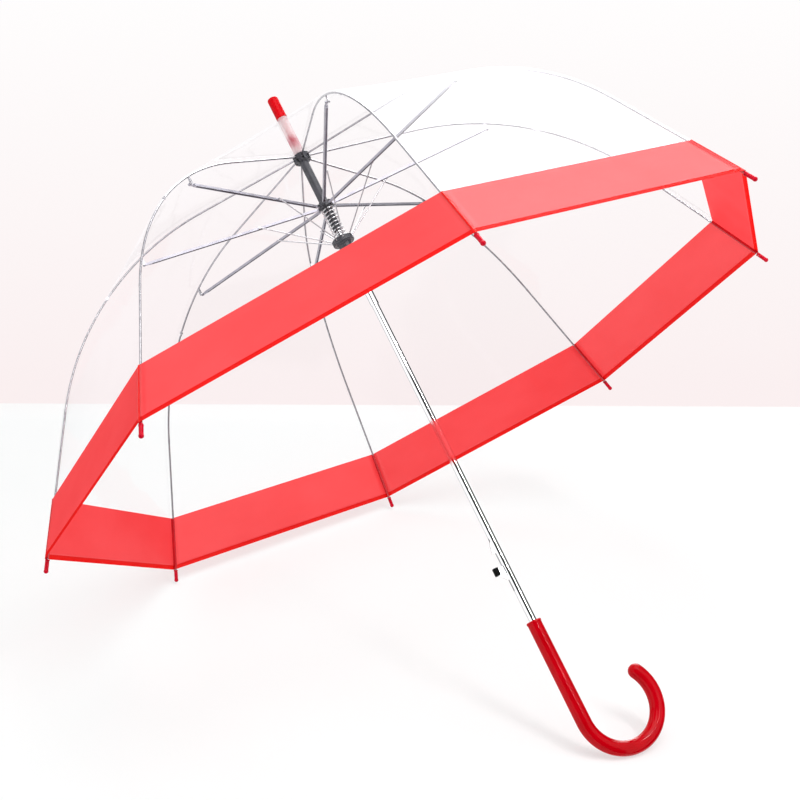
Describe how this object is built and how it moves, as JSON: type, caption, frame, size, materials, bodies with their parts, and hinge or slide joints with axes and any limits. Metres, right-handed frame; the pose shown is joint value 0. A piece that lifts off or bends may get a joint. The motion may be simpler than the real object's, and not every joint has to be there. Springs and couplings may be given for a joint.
{
  "type": "bubble umbrella",
  "caption": "Clear dome-shaped umbrella with a translucent red border, a chrome shaft, wire ribs and struts, and a red crook handle; it folds along the shaft.",
  "frame": {"origin": "middle of the straight grip, on the shaft's axis", "axes": "+Z along the shaft towards the red ferrule cap, +X towards the open side of the crook handle, the button on the -X side"},
  "size_m": [0.857, 0.857, 0.832],
  "materials": {
    "chrome": "polished plated steel tube",
    "black_plastic": "moulded nylon, satin",
    "spring_wire": "bright drawn wire",
    "rib_wire": "thin dark wire",
    "zinc_channel": "pressed channel, bright zinc",
    "clear_plastic": "clear moulded acrylic",
    "clear_film": "clear soft sheet, glossy",
    "red_film": "translucent soft sheet",
    "red_plastic": "moulded, glossy",
    "red_grip": "moulded, high gloss"
  },
  "bodies": {
    "frame": {"shaft_tube": "chrome", "crown": "black_plastic", "crown_wire": "spring_wire", "stop_sleeve": "black_plastic", "spike": "clear_plastic", "ferrule_cap": "red_plastic", "handle": "red_grip", "catch_pin": "spring_wire", "canopy_film": "clear_film", "border_band": "red_film"},
    "catch": {"catch_lever": "spring_wire", "catch_button": "black_plastic"},
    "upper_runner": {"upper_hub": "black_plastic", "opening_spring": "spring_wire"},
    "lower_runner": {"lower_hub": "black_plastic", "runner_tube": "chrome", "lower_hub_wire": "spring_wire"},
    "rib_arm_1": {"rib_upper_1": "rib_wire"},
    "rib_end_1": {"rib_lower_1": "rib_wire", "rib_tip_1": "red_plastic"},
    "stretcher_arm_1": {"stretcher_1": "zinc_channel"},
    "strut_arm_1": {"strut_1": "spring_wire"},
    "rib_arm_2": {"rib_upper_2": "rib_wire"},
    "rib_end_2": {"rib_lower_2": "rib_wire", "rib_tip_2": "red_plastic"},
    "stretcher_arm_2": {"stretcher_2": "zinc_channel"},
    "strut_arm_2": {"strut_2": "spring_wire"},
    "rib_arm_3": {"rib_upper_3": "rib_wire"},
    "rib_end_3": {"rib_lower_3": "rib_wire", "rib_tip_3": "red_plastic"},
    "stretcher_arm_3": {"stretcher_3": "zinc_channel"},
    "strut_arm_3": {"strut_3": "spring_wire"},
    "rib_arm_4": {"rib_upper_4": "rib_wire"},
    "rib_end_4": {"rib_lower_4": "rib_wire", "rib_tip_4": "red_plastic"},
    "stretcher_arm_4": {"stretcher_4": "zinc_channel"},
    "strut_arm_4": {"strut_4": "spring_wire"},
    "rib_arm_5": {"rib_upper_5": "rib_wire"},
    "rib_end_5": {"rib_lower_5": "rib_wire", "rib_tip_5": "red_plastic"},
    "stretcher_arm_5": {"stretcher_5": "zinc_channel"},
    "strut_arm_5": {"strut_5": "spring_wire"},
    "rib_arm_6": {"rib_upper_6": "rib_wire"},
    "rib_end_6": {"rib_lower_6": "rib_wire", "rib_tip_6": "red_plastic"},
    "stretcher_arm_6": {"stretcher_6": "zinc_channel"},
    "strut_arm_6": {"strut_6": "spring_wire"},
    "rib_arm_7": {"rib_upper_7": "rib_wire"},
    "rib_end_7": {"rib_lower_7": "rib_wire", "rib_tip_7": "red_plastic"},
    "stretcher_arm_7": {"stretcher_7": "zinc_channel"},
    "strut_arm_7": {"strut_7": "spring_wire"},
    "rib_arm_8": {"rib_upper_8": "rib_wire"},
    "rib_end_8": {"rib_lower_8": "rib_wire", "rib_tip_8": "red_plastic"},
    "stretcher_arm_8": {"stretcher_8": "zinc_channel"},
    "strut_arm_8": {"strut_8": "spring_wire"}
  },
  "joints": [
    {"name": "fold_slide", "type": "slide", "parent": "frame", "child": "upper_runner", "axis": [0, 0, -1], "range_m": [0, 0.35097], "stiffness_N_per_m": 60, "springref_m": -0.25, "deforming": ["canopy_film", "border_band"]},
    {"name": "catch_press", "type": "hinge", "parent": "frame", "child": "catch", "pos_m": [0, 0, 0.098], "axis": [0, 1, 0], "range_deg": [0, 4.6], "stiffness_Nm_per_rad": 0.6, "springref_deg": -20.05},
    {"name": "hub_closing", "type": "slide", "parent": "upper_runner", "child": "lower_runner", "axis": [0, 0, 1], "range_m": [0, 0.03219], "deforming": ["opening_spring"]},
    {"name": "rib_fold_1", "type": "hinge", "parent": "frame", "child": "rib_arm_1", "pos_m": [-0.00671, -0.00436, 0.64], "axis": [0.5446, -0.8387, 0], "range_deg": [0, 72.16]},
    {"name": "rib_bend_1", "type": "hinge", "parent": "rib_arm_1", "child": "rib_end_1", "pos_m": [-0.22266, -0.1446, 0.56702], "axis": [-0.5446, 0.8387, 0], "range_deg": [0, 38.3]},
    {"name": "stretcher_fold_1", "type": "hinge", "parent": "upper_runner", "child": "stretcher_arm_1", "pos_m": [-0.00554, -0.00359, 0.574], "axis": [-0.5446, 0.8387, 0], "range_deg": [0, 81.24]},
    {"name": "strut_fold_1", "type": "hinge", "parent": "lower_runner", "child": "strut_arm_1", "pos_m": [-0.00881, -0.00572, 0.5293], "axis": [-0.5446, 0.8387, 0], "range_deg": [0, 52.56]},
    {"name": "rib_fold_2", "type": "hinge", "parent": "frame", "child": "rib_arm_2", "pos_m": [-0.00166, -0.00783, 0.64], "axis": [0.9781, -0.2079, 0], "range_deg": [0, 72.16]},
    {"name": "rib_bend_2", "type": "hinge", "parent": "rib_arm_2", "child": "rib_end_2", "pos_m": [-0.0552, -0.25969, 0.56702], "axis": [-0.9781, 0.2079, 0], "range_deg": [0, 38.3]},
    {"name": "stretcher_fold_2", "type": "hinge", "parent": "upper_runner", "child": "stretcher_arm_2", "pos_m": [-0.00137, -0.00646, 0.574], "axis": [-0.9781, 0.2079, 0], "range_deg": [0, 81.24]},
    {"name": "strut_fold_2", "type": "hinge", "parent": "lower_runner", "child": "strut_arm_2", "pos_m": [-0.00218, -0.01027, 0.5293], "axis": [-0.9781, 0.2079, 0], "range_deg": [0, 52.56]},
    {"name": "rib_fold_3", "type": "hinge", "parent": "frame", "child": "rib_arm_3", "pos_m": [0.00436, -0.00671, 0.64], "axis": [0.8387, 0.5446, 0], "range_deg": [0, 72.16]},
    {"name": "rib_bend_3", "type": "hinge", "parent": "rib_arm_3", "child": "rib_end_3", "pos_m": [0.1446, -0.22266, 0.56702], "axis": [-0.8387, -0.5446, 0], "range_deg": [0, 38.3]},
    {"name": "stretcher_fold_3", "type": "hinge", "parent": "upper_runner", "child": "stretcher_arm_3", "pos_m": [0.00359, -0.00554, 0.574], "axis": [-0.8387, -0.5446, 0], "range_deg": [0, 81.24]},
    {"name": "strut_fold_3", "type": "hinge", "parent": "lower_runner", "child": "strut_arm_3", "pos_m": [0.00572, -0.00881, 0.5293], "axis": [-0.8387, -0.5446, 0], "range_deg": [0, 52.56]},
    {"name": "rib_fold_4", "type": "hinge", "parent": "frame", "child": "rib_arm_4", "pos_m": [0.00783, -0.00166, 0.64], "axis": [0.2079, 0.9781, 0], "range_deg": [0, 72.16]},
    {"name": "rib_bend_4", "type": "hinge", "parent": "rib_arm_4", "child": "rib_end_4", "pos_m": [0.25969, -0.0552, 0.56702], "axis": [-0.2079, -0.9781, 0], "range_deg": [0, 38.3]},
    {"name": "stretcher_fold_4", "type": "hinge", "parent": "upper_runner", "child": "stretcher_arm_4", "pos_m": [0.00646, -0.00137, 0.574], "axis": [-0.2079, -0.9781, 0], "range_deg": [0, 81.24]},
    {"name": "strut_fold_4", "type": "hinge", "parent": "lower_runner", "child": "strut_arm_4", "pos_m": [0.01027, -0.00218, 0.5293], "axis": [-0.2079, -0.9781, 0], "range_deg": [0, 52.56]},
    {"name": "rib_fold_5", "type": "hinge", "parent": "frame", "child": "rib_arm_5", "pos_m": [0.00671, 0.00436, 0.64], "axis": [-0.5446, 0.8387, 0], "range_deg": [0, 72.16]},
    {"name": "rib_bend_5", "type": "hinge", "parent": "rib_arm_5", "child": "rib_end_5", "pos_m": [0.22266, 0.1446, 0.56702], "axis": [0.5446, -0.8387, 0], "range_deg": [0, 38.3]},
    {"name": "stretcher_fold_5", "type": "hinge", "parent": "upper_runner", "child": "stretcher_arm_5", "pos_m": [0.00554, 0.00359, 0.574], "axis": [0.5446, -0.8387, 0], "range_deg": [0, 81.24]},
    {"name": "strut_fold_5", "type": "hinge", "parent": "lower_runner", "child": "strut_arm_5", "pos_m": [0.00881, 0.00572, 0.5293], "axis": [0.5446, -0.8387, 0], "range_deg": [0, 52.56]},
    {"name": "rib_fold_6", "type": "hinge", "parent": "frame", "child": "rib_arm_6", "pos_m": [0.00166, 0.00783, 0.64], "axis": [-0.9781, 0.2079, 0], "range_deg": [0, 72.16]},
    {"name": "rib_bend_6", "type": "hinge", "parent": "rib_arm_6", "child": "rib_end_6", "pos_m": [0.0552, 0.25969, 0.56702], "axis": [0.9781, -0.2079, 0], "range_deg": [0, 38.3]},
    {"name": "stretcher_fold_6", "type": "hinge", "parent": "upper_runner", "child": "stretcher_arm_6", "pos_m": [0.00137, 0.00646, 0.574], "axis": [0.9781, -0.2079, 0], "range_deg": [0, 81.24]},
    {"name": "strut_fold_6", "type": "hinge", "parent": "lower_runner", "child": "strut_arm_6", "pos_m": [0.00218, 0.01027, 0.5293], "axis": [0.9781, -0.2079, 0], "range_deg": [0, 52.56]},
    {"name": "rib_fold_7", "type": "hinge", "parent": "frame", "child": "rib_arm_7", "pos_m": [-0.00436, 0.00671, 0.64], "axis": [-0.8387, -0.5446, 0], "range_deg": [0, 72.16]},
    {"name": "rib_bend_7", "type": "hinge", "parent": "rib_arm_7", "child": "rib_end_7", "pos_m": [-0.1446, 0.22266, 0.56702], "axis": [0.8387, 0.5446, 0], "range_deg": [0, 38.3]},
    {"name": "stretcher_fold_7", "type": "hinge", "parent": "upper_runner", "child": "stretcher_arm_7", "pos_m": [-0.00359, 0.00554, 0.574], "axis": [0.8387, 0.5446, 0], "range_deg": [0, 81.24]},
    {"name": "strut_fold_7", "type": "hinge", "parent": "lower_runner", "child": "strut_arm_7", "pos_m": [-0.00572, 0.00881, 0.5293], "axis": [0.8387, 0.5446, 0], "range_deg": [0, 52.56]},
    {"name": "rib_fold_8", "type": "hinge", "parent": "frame", "child": "rib_arm_8", "pos_m": [-0.00783, 0.00166, 0.64], "axis": [-0.2079, -0.9781, 0], "range_deg": [0, 72.16]},
    {"name": "rib_bend_8", "type": "hinge", "parent": "rib_arm_8", "child": "rib_end_8", "pos_m": [-0.25969, 0.0552, 0.56702], "axis": [0.2079, 0.9781, 0], "range_deg": [0, 38.3]},
    {"name": "stretcher_fold_8", "type": "hinge", "parent": "upper_runner", "child": "stretcher_arm_8", "pos_m": [-0.00646, 0.00137, 0.574], "axis": [0.2079, 0.9781, 0], "range_deg": [0, 81.24]},
    {"name": "strut_fold_8", "type": "hinge", "parent": "lower_runner", "child": "strut_arm_8", "pos_m": [-0.01027, 0.00218, 0.5293], "axis": [0.2079, 0.9781, 0], "range_deg": [0, 52.56]}
  ],
  "couplings": [
    {"joint": "hub_closing", "follows": "fold_slide", "ratio": 0.091716},
    {"joint": "rib_fold_1", "follows": "fold_slide", "rad_per_m": 3.5885},
    {"joint": "rib_bend_1", "follows": "fold_slide", "rad_per_m": 1.9048},
    {"joint": "stretcher_fold_1", "follows": "fold_slide", "rad_per_m": 4.0398},
    {"joint": "strut_fold_1", "follows": "fold_slide", "rad_per_m": 2.6139},
    {"joint": "rib_fold_2", "follows": "fold_slide", "rad_per_m": 3.5885},
    {"joint": "rib_bend_2", "follows": "fold_slide", "rad_per_m": 1.9048},
    {"joint": "stretcher_fold_2", "follows": "fold_slide", "rad_per_m": 4.0398},
    {"joint": "strut_fold_2", "follows": "fold_slide", "rad_per_m": 2.6139},
    {"joint": "rib_fold_3", "follows": "fold_slide", "rad_per_m": 3.5885},
    {"joint": "rib_bend_3", "follows": "fold_slide", "rad_per_m": 1.9048},
    {"joint": "stretcher_fold_3", "follows": "fold_slide", "rad_per_m": 4.0398},
    {"joint": "strut_fold_3", "follows": "fold_slide", "rad_per_m": 2.6139},
    {"joint": "rib_fold_4", "follows": "fold_slide", "rad_per_m": 3.5885},
    {"joint": "rib_bend_4", "follows": "fold_slide", "rad_per_m": 1.9048},
    {"joint": "stretcher_fold_4", "follows": "fold_slide", "rad_per_m": 4.0398},
    {"joint": "strut_fold_4", "follows": "fold_slide", "rad_per_m": 2.6139},
    {"joint": "rib_fold_5", "follows": "fold_slide", "rad_per_m": 3.5885},
    {"joint": "rib_bend_5", "follows": "fold_slide", "rad_per_m": 1.9048},
    {"joint": "stretcher_fold_5", "follows": "fold_slide", "rad_per_m": 4.0398},
    {"joint": "strut_fold_5", "follows": "fold_slide", "rad_per_m": 2.6139},
    {"joint": "rib_fold_6", "follows": "fold_slide", "rad_per_m": 3.5885},
    {"joint": "rib_bend_6", "follows": "fold_slide", "rad_per_m": 1.9048},
    {"joint": "stretcher_fold_6", "follows": "fold_slide", "rad_per_m": 4.0398},
    {"joint": "strut_fold_6", "follows": "fold_slide", "rad_per_m": 2.6139},
    {"joint": "rib_fold_7", "follows": "fold_slide", "rad_per_m": 3.5885},
    {"joint": "rib_bend_7", "follows": "fold_slide", "rad_per_m": 1.9048},
    {"joint": "stretcher_fold_7", "follows": "fold_slide", "rad_per_m": 4.0398},
    {"joint": "strut_fold_7", "follows": "fold_slide", "rad_per_m": 2.6139},
    {"joint": "rib_fold_8", "follows": "fold_slide", "rad_per_m": 3.5885},
    {"joint": "rib_bend_8", "follows": "fold_slide", "rad_per_m": 1.9048},
    {"joint": "stretcher_fold_8", "follows": "fold_slide", "rad_per_m": 4.0398},
    {"joint": "strut_fold_8", "follows": "fold_slide", "rad_per_m": 2.6139}
  ]
}
